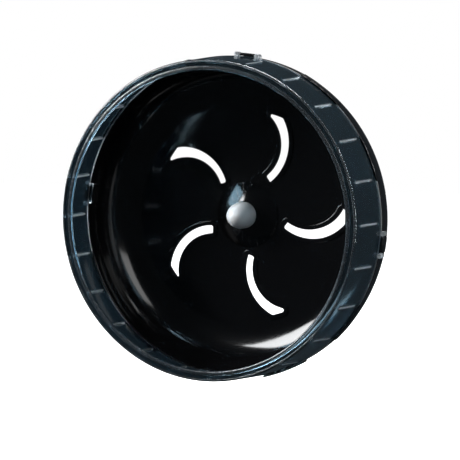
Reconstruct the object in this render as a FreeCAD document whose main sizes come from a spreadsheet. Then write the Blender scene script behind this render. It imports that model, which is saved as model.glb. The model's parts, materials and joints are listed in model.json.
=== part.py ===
# Exercise wheel for a small pet: a black pan and a clear track ring that turn together
# on two ball bearings around a fixed axle.
# Millimetres. +Z is up, the axle lies along Y and the open side of the wheel faces -Y.
# The origin is on the axle, in the shoulder face that the wheel is fastened by.
import os

import FreeCAD, Part
import Sketcher

SIZES = (
    # track ring
    ("rimRadius", 103.6, "outside radius of the track ring at its rear edge"),
    ("frontRadius", 100.0, "outside radius of the track ring at its front"),
    ("ringLength", 38.0, "length of the track ring"),
    ("ringWall", 1.6, "wall of the track ring"),
    ("lipInner", 93.4, "inside radius of the front lip"),
    ("lipBead", 2.8, "width and depth of the rolled bead on the lip's inner edge"),
    ("lipRound", 1.1, "rounding of the bead and of the ring's front corner"),
    ("lipStep", 0.8, "how far the lip's web lies behind the bead and the corner"),
    ("cornerRidge", 1.5, "width of the ridge along the ring's front corner"),
    ("treadCount", 24, "treads across the track"),
    ("treadPhase", 90.0, "angle of the first tread"),
    ("treadWidth", 1.5, "width of a tread"),
    ("treadHeight", 1.1, "height of a tread"),
    ("treadGroove", 0.5, "depth of the groove outside a tread"),
    ("treadFront", 7.2, "from the ring's front to the treads"),
    ("treadRear", 6.6, "from the treads to the ring's rear edge"),
    ("treadSlope", 0.9, "length of the slope at each end of a tread"),
    # pan
    ("panDepth", 33.2, "from the disc's front face to the track ring"),
    ("panWall", 2.8, "wall of the pan"),
    ("panCorner", 28.5, "outside radius of the corner between wall and disc"),
    ("discWall", 2.5, "thickness of the disc"),
    ("seamTongue", 1.2, "length of the tongue that centres the ring"),
    ("seamClearance", 0.2, "gap between the tongue and the ring, and under the lugs"),
    ("hubRadius", 14.0, "outside radius of the bearing hub"),
    ("coverFlange", 4.0, "thickness of the flange at the hub's rear end"),
    ("coverRadius", 19.5, "radius of that flange and of the bearing cover"),
    ("ledgeInner", 9.8, "inside radius of the ledge between the bearings"),
    ("gussetCount", 5, "gussets between hub and disc"),
    ("gussetPhase", 57.0, "angle of the first gusset"),
    ("gussetReach", 26.0, "radius that the gussets reach on the disc"),
    ("gussetRise", 8.0, "how far the gussets climb the hub"),
    ("gussetWall", 2.0, "thickness of a gusset"),
    # lugs and clips on the rim
    ("clipCount", 4, "clips that hold the ring"),
    ("clipPhase", 82.5, "angle of the first clip"),
    ("clipAngle", 5.0, "arc of a clip tab"),
    ("clipHeight", 2.1, "how far a clip tab stands out"),
    ("clipForward", 1.8, "how far a clip tab laps over the ring"),
    ("clipRoot", 1.5, "thickness of a clip tab's root"),
    ("tongueReach", 4.0, "how far the ring's tongue and posts reach behind the seam"),
    ("postForward", 2.0, "how far a post reaches in front of the seam"),
    ("postRadius", 1.5, "radius of the posts beside each tab"),
    ("postRise", 1.1, "height of a post's middle over the ring"),
    ("postSpread", 3.8, "angle between a clip tab's middle and a post"),
    ("clipClearance", 0.3, "gap round the tongue and posts in the pan"),
    ("lugsBetween", 2, "lugs between neighbouring clips"),
    ("lugAngle", 16.5, "arc of a lug"),
    ("lugHeight", 1.1, "how far a lug stands out"),
    ("lugForward", 3.0, "how far a lug laps over the ring"),
    ("lugRear", 6.0, "length of a lug behind the seam"),
    # slots in the disc
    ("slotCount", 5, "curved slots in the disc"),
    ("slotPhase", 21.7, "angle of the first slot's centre of curvature"),
    ("slotCentre", 47.8, "radius where a slot's centre of curvature lies"),
    ("slotConvex", 32.4, "radius of a slot's convex edge"),
    ("slotConcave", 25.8, "radius of a slot's concave edge"),
    ("slotTaper", 1.4, "shift of the concave edge that widens the slot outwards"),
    ("slotStart", 149.0, "turn from the outward direction to a slot's inner end"),
    ("slotOuter", 68.4, "radius of a slot's outer end"),
    ("slotRound", 1.3, "rounding of a slot's corners"),
    ("borderWidth", 3.0, "width of the raised border round a slot"),
    ("borderHeight", 0.9, "height of that border"),
    # bearings, both of the 8 x 22 x 7 size
    ("bearingBore", 4.0, "radius of the bearing's bore"),
    ("bearingOuter", 11.0, "outside radius of the bearing"),
    ("bearingWidth", 7.0, "width of the bearing"),
    ("innerShoulder", 6.05, "outside radius of the inner race"),
    ("outerShoulder", 9.0, "inside radius of the outer race"),
    ("pitchRadius", 7.5, "radius of the circle of balls"),
    ("ballRadius", 1.984, "radius of a ball"),
    ("ballCount", 7, "balls in a bearing"),
    ("grooveRadius", 2.06, "radius of the race grooves"),
    ("shieldRecess", 0.7, "depth of the step that holds a shield"),
    ("shieldSeat", 9.4, "radius of that step"),
    ("shieldWall", 0.3, "thickness of a shield"),
    ("shieldInner", 6.3, "inside radius of a shield"),
    ("cageInner", 6.75, "inside radius of a ball cage"),
    ("cageOuter", 8.25, "outside radius of a ball cage"),
    ("cageFront", 1.2, "how far the cage's fingers reach past the balls' middle"),
    ("cageBack", 2.6, "how far the cage's closed side lies behind it"),
    ("pocketClearance", 0.06, "gap between a ball and its pocket"),
    ("seatClearance", 0.02, "gap between bearings and their seats"),
    # axle
    ("stubRadius", 4.0, "radius of the mounting stub"),
    ("stubLength", 16.0, "length of the mounting stub"),
    ("stubChamfer", 0.8, "chamfer on the stub's end"),
    ("shoulderRadius", 9.0, "radius of the mounting shoulder"),
    ("shoulderWall", 3.0, "thickness of the mounting shoulder"),
    ("neckRadius", 5.8, "radius of the neck that the rear bearing rests on"),
    ("neckLength", 4.0, "length of that neck"),
    ("spacerLength", 6.0, "distance between the bearings"),
    ("spacerRadius", 5.8, "outside radius of the spacer"),
    ("axleShort", 0.5, "how far the axle stops short of the front bearing's face"),
    ("tapRadius", 2.05, "radius of the tapped hole in the axle"),
    ("tapDepth", 15.0, "depth of the tapped hole"),
    ("washerRadius", 6.0, "outside radius of the end washer"),
    ("washerWall", 1.0, "thickness of the end washer"),
    ("washerBore", 2.2, "radius of the washer's hole"),
    ("boltRadius", 1.95, "radius of the end screw's shank"),
    ("boltLength", 12.0, "length of the end screw's shank"),
    ("boltHead", 3.6, "radius of the end screw's head"),
    ("boltHeadHeight", 2.6, "height of the end screw's head"),
    ("hexRadius", 1.45, "corner radius of the hexagon socket"),
    ("hexDepth", 1.5, "depth of the hexagon socket"),
    # bearing cover and its screws
    ("coverWall", 2.4, "thickness of the bearing cover"),
    ("coverBore", 7.4, "radius of the hole that clears the neck"),
    ("screwCount", 3, "screws that hold the cover"),
    ("screwCircle", 15.6, "radius of the circle of screws"),
    ("screwRadius", 1.25, "radius of a cover screw"),
    ("screwLength", 5.6, "length of a cover screw's shank"),
    ("screwHead", 2.3, "radius of a cover screw's head"),
    ("screwHeadHeight", 1.2, "height of a cover screw's head"),
    ("screwSunk", 0.2, "how far a head lies below the cover"),
    ("crossWidth", 0.7, "width of the cross recess"),
    ("crossLength", 2.8, "length of the cross recess"),
    ("crossDepth", 0.7, "depth of the cross recess"),
    ("holeClearance", 0.15, "gap round a screw in the cover"),
    # hub cone and cap
    ("discForward", 26.0, "from the mounting shoulder to the disc's front face"),
    ("coneRadius", 21.7, "radius of the cone's foot"),
    ("coneRise", 6.2, "height of the cone above the disc"),
    ("coneEdge", 0.6, "height of the cone's straight edge"),
    ("coneWall", 1.6, "wall of the cone"),
    ("coneTop", 9.3, "radius of the cone's flat top"),
    ("coneFoot", 1.4, "width of the cone's ring on the front bearing"),
    ("capRadius", 8.7, "radius of the cap"),
    ("capSide", 4.0, "height of the cap's straight side"),
    ("capDome", 14.5, "height of the cap's dome"),
    ("capShank", 6.4, "radius of the cap's plug"),
    ("capWall", 1.2, "wall of the cap's plug"),
    ("capPlug", 2.4, "length of the plug"),
    ("plugClearance", 0.1, "gap round the plug"),
)

doc = FreeCAD.newDocument("ExerciseWheel")
sheet = doc.addObject("Spreadsheet::Sheet", "Sizes")
for row, (alias, value, note) in enumerate(SIZES, 1):
    sheet.set(f"A{row}", note)
    sheet.set(f"B{row}", str(value))
    sheet.setAlias(f"B{row}", alias)
doc.recompute()

# Lengths measured forward (towards -Y) from the mounting shoulder, as expressions.
rearBearing = "(Sizes.shoulderWall + Sizes.neckLength)"
frontBearing = f"({rearBearing} + Sizes.bearingWidth + Sizes.spacerLength)"
hubFront = f"({frontBearing} + Sizes.bearingWidth)"
disc = "Sizes.discForward"
discRear = f"({disc} - Sizes.discWall)"
seam = f"({disc} + Sizes.panDepth)"
ringFront = f"({seam} + Sizes.ringLength)"
coneFront = f"({disc} + Sizes.coneRise)"
tiny = 0.5  # overlap that makes two features of one piece fuse


def size(alias):
    return float(sheet.get(alias))


def y(forward):
    """The row's y of a length measured forward."""
    return f"-({forward})"


def turned(angle):
    """A placement turned about the axle, anticlockwise seen from the front."""
    return FreeCAD.Placement(FreeCAD.Vector(), FreeCAD.Rotation(FreeCAD.Vector(0, 1, 0), -angle))


def facing(angle=0.0):
    """A placement whose local z points forward and local x lies at an angle round the axle."""
    face = FreeCAD.Rotation(FreeCAD.Vector(1, 0, 0), 90)
    spin = FreeCAD.Rotation(FreeCAD.Vector(0, 0, 1), angle)
    return FreeCAD.Placement(FreeCAD.Vector(), face * spin)


def newBody(label):
    body = doc.addObject("PartDesign::Body", label)
    body.Label = label
    return body


def newSketch(body, role, placement=None):
    sketch = body.newObject("Sketcher::SketchObject", f"{body.Name}_sketch")
    plane = next(feature for feature in body.Origin.OriginFeatures if feature.Role == role)
    sketch.AttachmentSupport = (plane, [""])
    sketch.MapMode = "FlatFace"
    if placement:
        sketch.AttachmentOffset = placement
    return sketch


def fix(sketch, geometry, point, across, along):
    """Ties a point of the sketch to two expressions."""
    for kind, expression in (("DistanceX", across), ("DistanceY", along)):
        number = sketch.addConstraint(Sketcher.Constraint(kind, -1, 1, geometry, point, 1.0))
        sketch.setExpression(f"Constraints[{number}]", expression)


def outline(sketch, corners):
    """A closed polygon whose corners are pairs of expressions.

    It is drawn as a regular one first, and the expressions then move its corners.
    """
    count = len(corners)
    middle = FreeCAD.Vector(60, 0, 0)
    starts = [middle + FreeCAD.Rotation(FreeCAD.Vector(0, 0, 1), 360 * i / count).multVec(middle / 2)
              for i in range(count)]
    for i in range(count):
        sketch.addGeometry(Part.LineSegment(starts[i], starts[(i + 1) % count]), False)
    for i in range(count):
        sketch.addConstraint(Sketcher.Constraint("Coincident", i, 2, (i + 1) % count, 1))
        fix(sketch, i, 1, *corners[i])


def circle(sketch, across, along, radius):
    up = FreeCAD.Vector(0, 0, 1)
    number = sketch.addGeometry(Part.Circle(FreeCAD.Vector(20, 20, 0), up, 2), False)
    fix(sketch, number, 3, across, along)
    constraint = sketch.addConstraint(Sketcher.Constraint("Radius", number, 2.0))
    sketch.setExpression(f"Constraints[{constraint}]", radius)


def turn(body, corners, kind="PartDesign::Revolution", sweep=None, placement=None):
    """Turns an outline in radius and y about the axle, all the way round or over an arc."""
    sketch = newSketch(body, "XY_Plane", placement)
    outline(sketch, corners)
    feature = body.newObject(kind, f"{body.Name}_turn")
    feature.Profile = sketch
    feature.ReferenceAxis = (sketch, ["V_Axis"])
    feature.Angle = 360
    if sweep:
        feature.Midplane = True
        feature.setExpression("Angle", sweep)
    return feature


def groove(body, radius, along, section):
    """Cuts a round groove about the axle."""
    sketch = newSketch(body, "XY_Plane")
    circle(sketch, radius, along, section)
    feature = body.newObject("PartDesign::Groove", f"{body.Name}_groove")
    feature.Profile = sketch
    feature.ReferenceAxis = (sketch, ["V_Axis"])
    feature.Angle = 360
    return feature


def repeat(body, feature, count):
    """Repeats a feature all the way round the axle."""
    pattern = body.newObject("PartDesign::PolarPattern", f"{body.Name}_pattern")
    pattern.Originals = [feature]
    axis = next(item for item in body.Origin.OriginFeatures if item.Role == "Y_Axis")
    pattern.Axis = (axis, [""])
    pattern.Angle = 360
    pattern.setExpression("Occurrences", count)
    body.Tip = pattern
    return pattern


def forwardSketch(body, start, angle=0.0):
    """A sketch across the axle whose z = 0 lies a length forward of the shoulder."""
    turnBy = FreeCAD.Rotation(FreeCAD.Vector(0, 0, 1), angle)
    sketch = newSketch(body, "XZ_Plane", FreeCAD.Placement(FreeCAD.Vector(0, 0, 1), turnBy))
    sketch.setExpression("AttachmentOffset.Base.z", start)
    return sketch


def extrude(body, sketch, length, kind="PartDesign::Pad"):
    """Raises a pad forward, or cuts a pocket forward, from the sketch."""
    feature = body.newObject(kind, f"{body.Name}_extrude")
    feature.Profile = sketch
    feature.Reversed = kind == "PartDesign::Pocket"
    feature.setExpression("Length", length)
    return feature


def circlesAt(shape, radius, forward):
    """Names of the round edges about the axle with this radius at this place."""
    names = []
    for number, edge in enumerate(shape.Edges, 1):
        if not isinstance(edge.Curve, Part.Circle):
            continue
        sameRadius = abs(edge.Curve.Radius - radius) < 0.01
        samePlace = abs(edge.Curve.Center.y + forward) < 0.01
        if sameRadius and samePlace:
            names.append(f"Edge{number}")
    return names


def roundOff(body, base, places, radius):
    """Rounds the round edges named by their radius and place."""
    doc.recompute()
    edges = []
    for place in places:
        edges += circlesAt(base.Shape, *place)
    feature = body.newObject("PartDesign::Fillet", f"{body.Name}_round")
    feature.Base = (base, edges)
    feature.setExpression("Radius", radius)
    body.Tip = feature
    return feature


def cylinder(name, radius, height, placement, sweep=None):
    solid = doc.addObject("Part::Cylinder", name)
    solid.setExpression("Radius", radius)
    solid.setExpression("Height", height)
    if sweep:
        solid.Angle = sweep
    solid.Placement = placement
    return solid


def compound(label, links):
    group = doc.addObject("Part::Compound", label)
    group.Label = label
    group.Links = links
    return group


def wallOutside(fromFront):
    """Outside radius of the tapered ring at a length behind its front."""
    return f"Sizes.frontRadius + (Sizes.rimRadius - Sizes.frontRadius) * ({fromFront}) / Sizes.ringLength"


def makeTrackRing():
    ring = newBody("track_ring")
    web = f"{ringFront} - Sizes.lipStep"
    webRear = f"{web} - Sizes.ringWall"
    beadOuter = "Sizes.lipInner + Sizes.lipBead"
    wall = turn(ring, [
        ("Sizes.lipInner", y(ringFront)),
        (beadOuter, y(ringFront)),
        (beadOuter, y(web)),
        ("Sizes.frontRadius - Sizes.cornerRidge", y(web)),
        ("Sizes.frontRadius - Sizes.cornerRidge", y(ringFront)),
        ("Sizes.frontRadius", y(ringFront)),
        ("Sizes.rimRadius", y(seam)),
        ("Sizes.rimRadius - Sizes.ringWall", y(seam)),
        ("Sizes.frontRadius - Sizes.ringWall", y(webRear)),
        (beadOuter, y(webRear)),
        (beadOuter, y(f"{ringFront} - Sizes.lipBead")),
        ("Sizes.lipInner", y(f"{ringFront} - Sizes.lipBead")),
    ])
    front = size("discForward") + size("panDepth") + size("ringLength")
    bead = [(size("lipInner"), front), (size("lipInner"), front - size("lipBead"))]
    roundOff(ring, wall, bead + [(size("frontRadius"), front)], "Sizes.lipRound")
    makeTreads(ring)
    makeTongues(ring)
    makePosts(ring)
    return ring


def acrossTrack(ring, places, kind):
    """Bars or grooves across the track, from lengths behind the front and inward of the wall."""
    sketch = newSketch(ring, "XY_Plane", turned(size("treadPhase")))
    outline(sketch, [(f"{wallOutside(behind)} - ({inward})", y(f"{ringFront} - ({behind})"))
                     for behind, inward in places])
    bar = ring.newObject(kind, "bar")
    bar.Profile = sketch
    bar.SideType = "Symmetric"
    bar.setExpression("Length", "Sizes.treadWidth")
    repeat(ring, bar, "Sizes.treadCount")


def makeTreads(ring):
    """Sloped-end bars inside the track, with a shallow groove over each on its outside."""
    front = "Sizes.treadFront"
    rear = "Sizes.ringLength - Sizes.treadRear"
    top = "Sizes.ringWall + Sizes.treadHeight"
    acrossTrack(ring, (
        (front, "Sizes.ringWall / 2"),
        (front, "Sizes.ringWall"),
        (f"{front} + Sizes.treadSlope", top),
        (f"{rear} - Sizes.treadSlope", top),
        (rear, "Sizes.ringWall"),
        (rear, "Sizes.ringWall / 2"),
    ), "PartDesign::Pad")
    acrossTrack(ring, (
        (front, f"-{tiny}"),
        (f"{front} + Sizes.treadGroove", "Sizes.treadGroove"),
        (f"{rear} - Sizes.treadGroove", "Sizes.treadGroove"),
        (rear, f"-{tiny}"),
    ), "PartDesign::Pocket")


def makeTongues(ring):
    """Tongues of the ring's wall that reach back into the pan at each clip."""
    tongue = turn(ring, [
        ("Sizes.rimRadius - Sizes.ringWall", y(f"{seam} + {tiny}")),
        ("Sizes.rimRadius", y(f"{seam}")),
        ("Sizes.rimRadius", y(f"{seam} - Sizes.tongueReach")),
        ("Sizes.rimRadius - Sizes.ringWall", y(f"{seam} - Sizes.tongueReach")),
    ], sweep="2 * Sizes.postSpread", placement=turned(size("clipPhase")))
    repeat(ring, tongue, "Sizes.clipCount")


def postCircles(sketch, radius):
    """The two posts at the edges of a tongue, on the ring's outside."""
    for side in (-1, 1):
        across = f"(Sizes.rimRadius + Sizes.postRise) * cos({side} * Sizes.postSpread)"
        along = f"(Sizes.rimRadius + Sizes.postRise) * sin({side} * Sizes.postSpread)"
        circle(sketch, across, along, radius)


def makePosts(ring):
    sketch = forwardSketch(ring, f"{seam} - Sizes.tongueReach", size("clipPhase"))
    postCircles(sketch, "Sizes.postRadius")
    posts = extrude(ring, sketch, "Sizes.tongueReach + Sizes.postForward")
    repeat(ring, posts, "Sizes.clipCount")


def makePan():
    shell = newBody("pan_shell")
    inner = "Sizes.rimRadius - Sizes.panWall"
    tongue = "Sizes.rimRadius - Sizes.ringWall - Sizes.seamClearance"
    tongueTip = f"{wallOutside('Sizes.ringLength - Sizes.seamTongue')} - Sizes.ringWall - Sizes.seamClearance"
    bore = "Sizes.bearingOuter + Sizes.seatClearance"
    flange = f"{rearBearing} + Sizes.coverFlange"
    walls = turn(shell, [
        (bore, y(hubFront)),
        ("Sizes.hubRadius", y(hubFront)),
        ("Sizes.hubRadius", y(disc)),
        (inner, y(disc)),
        (inner, y(f"{seam} + Sizes.seamTongue")),
        (tongueTip, y(f"{seam} + Sizes.seamTongue")),
        (tongue, y(seam)),
        ("Sizes.rimRadius", y(seam)),
        ("Sizes.rimRadius", y(discRear)),
        ("Sizes.hubRadius", y(discRear)),
        ("Sizes.hubRadius", y(flange)),
        ("Sizes.coverRadius", y(flange)),
        ("Sizes.coverRadius", y(rearBearing)),
        (bore, y(rearBearing)),
        (bore, y(f"{rearBearing} + Sizes.bearingWidth")),
        ("Sizes.ledgeInner", y(f"{rearBearing} + Sizes.bearingWidth")),
        ("Sizes.ledgeInner", y(frontBearing)),
        (bore, y(frontBearing)),
    ])
    discPlace = size("discForward")
    outside = roundOff(shell, walls, [(size("rimRadius"), discPlace - size("discWall"))], "Sizes.panCorner")
    innerEdge = (size("rimRadius") - size("panWall"), discPlace)
    roundOff(shell, outside, [innerEdge], "Sizes.panCorner - Sizes.panWall")
    makeLugs(shell)
    makeClipTabs(shell)
    cutTongueNotches(shell)
    cutPostNotches(shell)
    makeGussets(shell)
    cutScrewHoles(shell)
    return cutSlots(shell)


def makeLugs(shell):
    """Low blocks on the rim between the clips, which lap over the ring's rear edge."""
    under = "Sizes.rimRadius + Sizes.seamClearance"
    top = "Sizes.rimRadius + Sizes.lugHeight"
    root = f"Sizes.rimRadius - {tiny}"
    between = int(size("lugsBetween"))
    pitch = 360 / size("clipCount") / (between + 1)
    for i in range(between):
        lug = turn(shell, [
            (under, y(f"{seam} + Sizes.lugForward")),
            (top, y(f"{seam} + Sizes.lugForward")),
            (top, y(f"{seam} - Sizes.lugRear + Sizes.lugHeight")),
            (root, y(f"{seam} - Sizes.lugRear")),
            (root, y(seam)),
            (under, y(seam)),
        ], sweep="Sizes.lugAngle", placement=turned(size("clipPhase") + pitch * (i + 1)))
        repeat(shell, lug, "Sizes.clipCount")


def makeClipTabs(shell):
    """Tabs that stand behind the ring's tongues and hook over the ring between its posts."""
    under = "Sizes.rimRadius + Sizes.seamClearance"
    top = "Sizes.rimRadius + Sizes.clipHeight"
    root = f"Sizes.rimRadius - {tiny}"
    back = f"{seam} - Sizes.tongueReach - Sizes.clipClearance"
    tab = turn(shell, [
        (under, y(f"{seam} + Sizes.clipForward")),
        (top, y(f"{seam} + Sizes.clipForward")),
        (top, y(f"{back} - Sizes.clipRoot")),
        (root, y(f"{back} - Sizes.clipRoot - Sizes.clipHeight")),
        (root, y(back)),
        (under, y(back)),
    ], sweep="Sizes.clipAngle", placement=turned(size("clipPhase")))
    repeat(shell, tab, "Sizes.clipCount")


def cutTongueNotches(shell):
    """Openings in the pan's wall for the ring's tongues."""
    inner = f"Sizes.rimRadius - Sizes.panWall - {tiny}"
    outer = "Sizes.rimRadius + Sizes.seamClearance"
    back = f"{seam} - Sizes.tongueReach - Sizes.clipClearance"
    notch = turn(shell, [
        (inner, y(f"{seam} + Sizes.seamTongue + {tiny}")),
        (outer, y(f"{seam} + Sizes.seamTongue + {tiny}")),
        (outer, y(back)),
        (inner, y(back)),
    ], "PartDesign::Groove", sweep="2 * Sizes.postSpread", placement=turned(size("clipPhase")))
    repeat(shell, notch, "Sizes.clipCount")


def cutPostNotches(shell):
    sketch = forwardSketch(shell, f"{seam} - Sizes.tongueReach - Sizes.clipClearance", size("clipPhase"))
    postCircles(sketch, "Sizes.postRadius + Sizes.clipClearance")
    notch = extrude(shell, sketch, "Sizes.tongueReach + Sizes.lugForward", "PartDesign::Pocket")
    repeat(shell, notch, "Sizes.clipCount")


def makeGussets(shell):
    sketch = newSketch(shell, "XY_Plane", turned(size("gussetPhase")))
    root = f"Sizes.hubRadius - {tiny}"
    outline(sketch, [
        (root, y(f"{discRear} + {tiny}")),
        ("Sizes.gussetReach", y(f"{discRear} + {tiny}")),
        ("Sizes.gussetReach", y(discRear)),
        (root, y(f"{discRear} - Sizes.gussetRise")),
    ])
    gusset = shell.newObject("PartDesign::Pad", "gusset")
    gusset.Profile = sketch
    gusset.SideType = "Symmetric"
    gusset.setExpression("Length", "Sizes.gussetWall")
    repeat(shell, gusset, "Sizes.gussetCount")


def cutScrewHoles(shell):
    sketch = forwardSketch(shell, f"{rearBearing} - {tiny}")
    circle(sketch, "Sizes.screwCircle", "0", "Sizes.screwRadius + Sizes.seatClearance")
    hole = extrude(shell, sketch, f"Sizes.screwLength + {tiny}", "PartDesign::Pocket")
    repeat(shell, hole, "Sizes.screwCount")


def slotOutline():
    """The face of one slot with sharp corners, its centre of curvature on local x."""
    centre = FreeCAD.Vector(size("slotCentre"), 0, 0)
    start = size("slotStart")
    about = FreeCAD.Rotation(FreeCAD.Vector(0, 0, 1), -start)
    convex = cylinder("slot_convex", "Sizes.slotConvex", "Sizes.discWall",
                      FreeCAD.Placement(centre, about), sweep=start)
    shifted = centre - FreeCAD.Vector(size("slotTaper"), 0, 0)
    concave = cylinder("slot_concave", "Sizes.slotConcave", "Sizes.discWall",
                       FreeCAD.Placement(shifted, FreeCAD.Rotation()))
    band = doc.addObject("Part::Cut", "slot_band")
    band.Base = convex
    band.Tool = concave
    end = cylinder("slot_end", "Sizes.slotOuter", "Sizes.discWall", FreeCAD.Placement())
    reach = 2 * size("slotOuter")
    plane = doc.addObject("Part::Plane", "slot_plane")
    plane.Length = reach
    plane.Width = reach
    plane.Placement.Base = FreeCAD.Vector(-reach / 2, -reach / 2, size("discWall") / 2)
    sliced = doc.addObject("Part::MultiCommon", "slot_slice")
    sliced.Shapes = [plane, band, end]
    doc.recompute()
    face = doc.addObject("Part::Feature", "slot_face")
    face.Shape = sliced.Shape.Faces[0]
    return face


def offsetFace(name, face, distance):
    """The face grown by a distance, or shrunk when the distance is negative."""
    moved = doc.addObject("Part::Offset2D", name)
    moved.Source = face
    moved.setExpression("Value", distance)
    return moved


def blockFrom(name, face, height):
    """A block that stands on the face."""
    block = doc.addObject("Part::Extrusion", name)
    block.Base = face
    block.DirMode = "Custom"
    block.Dir = FreeCAD.Vector(0, 0, 1)
    block.Solid = True
    block.setExpression("LengthFwd", height)
    return block


def ringOfCopies(name, source, count, phase, forward):
    """Copies of a block round the axle, standing a length forward of the shoulder."""
    copies = []
    for i in range(count):
        copy = doc.addObject("Part::Feature", f"{name}_{i + 1}")
        copy.Shape = source.Shape
        place = facing(phase + 360 * i / count)
        place.Base = FreeCAD.Vector(0, -forward, 0)
        copy.Placement = place
        copies.append(copy)
    return compound(name, copies)


def cutSlots(shell):
    """Adds the raised borders to the disc and cuts the curved slots through it."""
    count = int(size("slotCount"))
    phase = size("slotPhase")
    core = offsetFace("slot_core", slotOutline(), "-Sizes.slotRound")
    wide = offsetFace("border_face", core, "Sizes.slotRound + Sizes.borderWidth")
    border = blockFrom("border", wide, f"Sizes.borderHeight + {tiny}")
    narrow = offsetFace("slot_rounded", core, "Sizes.slotRound")
    slot = blockFrom("slot", narrow, "4 * Sizes.discWall")
    doc.recompute()
    lift = size("discWall") / 2
    borders = ringOfCopies("borders", border, count, phase, size("discForward") - tiny - lift)
    slots = ringOfCopies("slots", slot, count, phase, size("discForward") - 3 * size("discWall"))
    coneSeat = cylinder("cone_seat", "Sizes.coneRadius + Sizes.seamClearance", f"2 * {disc}", facing())
    kept = doc.addObject("Part::Cut", "borders_clear_of_cone")
    kept.Base = borders
    kept.Tool = coneSeat
    raised = doc.addObject("Part::MultiFuse", "pan_raised")
    raised.Shapes = [shell, kept]
    pan = doc.addObject("Part::Cut", "wheel_pan")
    pan.Label = "wheel_pan"
    pan.Base = raised
    pan.Tool = slots
    return pan


def makeCone():
    """Thin cone over the front bearing, with a ring that holds the bearing in."""
    cone = newBody("hub_cone")
    hole = "Sizes.capShank + Sizes.plugClearance"
    edge = f"{disc} + Sizes.coneEdge"
    under = f"{coneFront} - Sizes.coneWall"
    turn(cone, [
        (hole, y(coneFront)),
        ("Sizes.coneTop", y(coneFront)),
        ("Sizes.coneRadius", y(edge)),
        ("Sizes.coneRadius", y(disc)),
        ("Sizes.coneRadius - Sizes.coneWall", y(disc)),
        ("Sizes.coneTop", y(under)),
        (hole, y(under)),
    ])
    ringInner = "Sizes.bearingOuter - Sizes.coneFoot - Sizes.seatClearance"
    foot = turn(cone, [
        (ringInner, y(under)),
        ("Sizes.bearingOuter - Sizes.seatClearance", y(f"{under} - {tiny}")),
        ("Sizes.bearingOuter - Sizes.seatClearance", y(hubFront)),
        (ringInner, y(hubFront)),
    ])
    cone.Tip = foot
    return cone


def makeCap():
    """Rounded cap plugged into the cone, hollow over the end screw."""
    cap = newBody("hub_cap")
    side = f"{coneFront} + Sizes.capSide"
    roof = f"{side} - Sizes.capWall"
    inner = "Sizes.capShank - Sizes.capWall"
    turn(cap, [
        (inner, y(f"{coneFront} - Sizes.capPlug")),
        ("Sizes.capShank", y(f"{coneFront} - Sizes.capPlug")),
        ("Sizes.capShank", y(coneFront)),
        ("Sizes.capRadius", y(coneFront)),
        ("Sizes.capRadius", y(side)),
        ("0", y(side)),
        ("0", y(roof)),
        (inner, y(roof)),
    ])
    dome = cap.newObject("PartDesign::AdditiveEllipsoid", "dome")
    plane = next(item for item in cap.Origin.OriginFeatures if item.Role == "XZ_Plane")
    dome.AttachmentSupport = (plane, [""])
    dome.MapMode = "FlatFace"
    dome.AttachmentOffset = FreeCAD.Placement(FreeCAD.Vector(0, 0, 1), FreeCAD.Rotation())
    dome.setExpression("AttachmentOffset.Base.z", side)
    dome.setExpression("Radius1", "Sizes.capDome")
    dome.setExpression("Radius2", "Sizes.capRadius")
    dome.setExpression("Radius3", "Sizes.capRadius")
    dome.Angle1 = 0
    dome.Angle2 = 90
    cap.Tip = dome
    return cap


def makeBearingCover():
    cover = newBody("bearing_cover")
    rear = f"({rearBearing} - Sizes.coverWall)"
    turn(cover, [
        ("Sizes.coverBore", y(rearBearing)),
        ("Sizes.coverRadius", y(rearBearing)),
        ("Sizes.coverRadius", y(rear)),
        ("Sizes.coverBore", y(rear)),
    ])
    headFloor = f"({rear} + Sizes.screwSunk + Sizes.screwHeadHeight)"
    hole = forwardSketch(cover, f"{rear} - {tiny}")
    circle(hole, "Sizes.screwCircle", "0", "Sizes.screwRadius + Sizes.holeClearance")
    through = extrude(cover, hole, f"Sizes.coverWall + 2 * {tiny}", "PartDesign::Pocket")
    repeat(cover, through, "Sizes.screwCount")
    seat = forwardSketch(cover, f"{rear} - {tiny}")
    circle(seat, "Sizes.screwCircle", "0", "Sizes.screwHead + Sizes.holeClearance")
    sunk = extrude(cover, seat, f"{headFloor} - {rear} + {tiny}", "PartDesign::Pocket")
    repeat(cover, sunk, "Sizes.screwCount")
    return cover


def makeCoverScrews():
    """Cross-head screws through the cover into the hub."""
    count = int(size("screwCount"))
    headTop = size("shoulderWall") + size("neckLength") - size("coverWall") + size("screwSunk")
    screws = []
    for i in range(count):
        place = facing(360 * i / count)
        centre = place.Rotation.multVec(FreeCAD.Vector(size("screwCircle"), 0, 0))
        top = FreeCAD.Placement(centre - FreeCAD.Vector(0, headTop, 0), place.Rotation)
        name = f"cover_screw_{i + 1}"
        head = cylinder(f"{name}_head", "Sizes.screwHead", "Sizes.screwHeadHeight", top)
        shank = cylinder(f"{name}_shank", "Sizes.screwRadius",
                         "Sizes.screwHeadHeight + Sizes.screwLength - Sizes.seatClearance", top)
        blank = doc.addObject("Part::Fuse", f"{name}_blank")
        blank.Base = head
        blank.Tool = shank
        bars = [crossBar(f"{name}_bar_{n + 1}", top, 90 * n) for n in range(2)]
        screw = doc.addObject("Part::Cut", name)
        screw.Base = blank
        screw.Tool = compound(f"{name}_recess", bars)
        screws.append(screw)
    return compound("cover_screws", screws)


def crossBar(name, top, angle):
    """One bar of the cross recess, centred on the screw."""
    bar = doc.addObject("Part::Box", name)
    bar.setExpression("Length", "Sizes.crossLength")
    bar.setExpression("Width", "Sizes.crossWidth")
    bar.setExpression("Height", "Sizes.crossDepth")
    middle = FreeCAD.Vector(-size("crossLength") / 2, -size("crossWidth") / 2, 0)
    spin = FreeCAD.Rotation(FreeCAD.Vector(0, 0, 1), angle)
    bar.Placement = top * FreeCAD.Placement(spin.multVec(middle), spin)
    return bar


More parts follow.
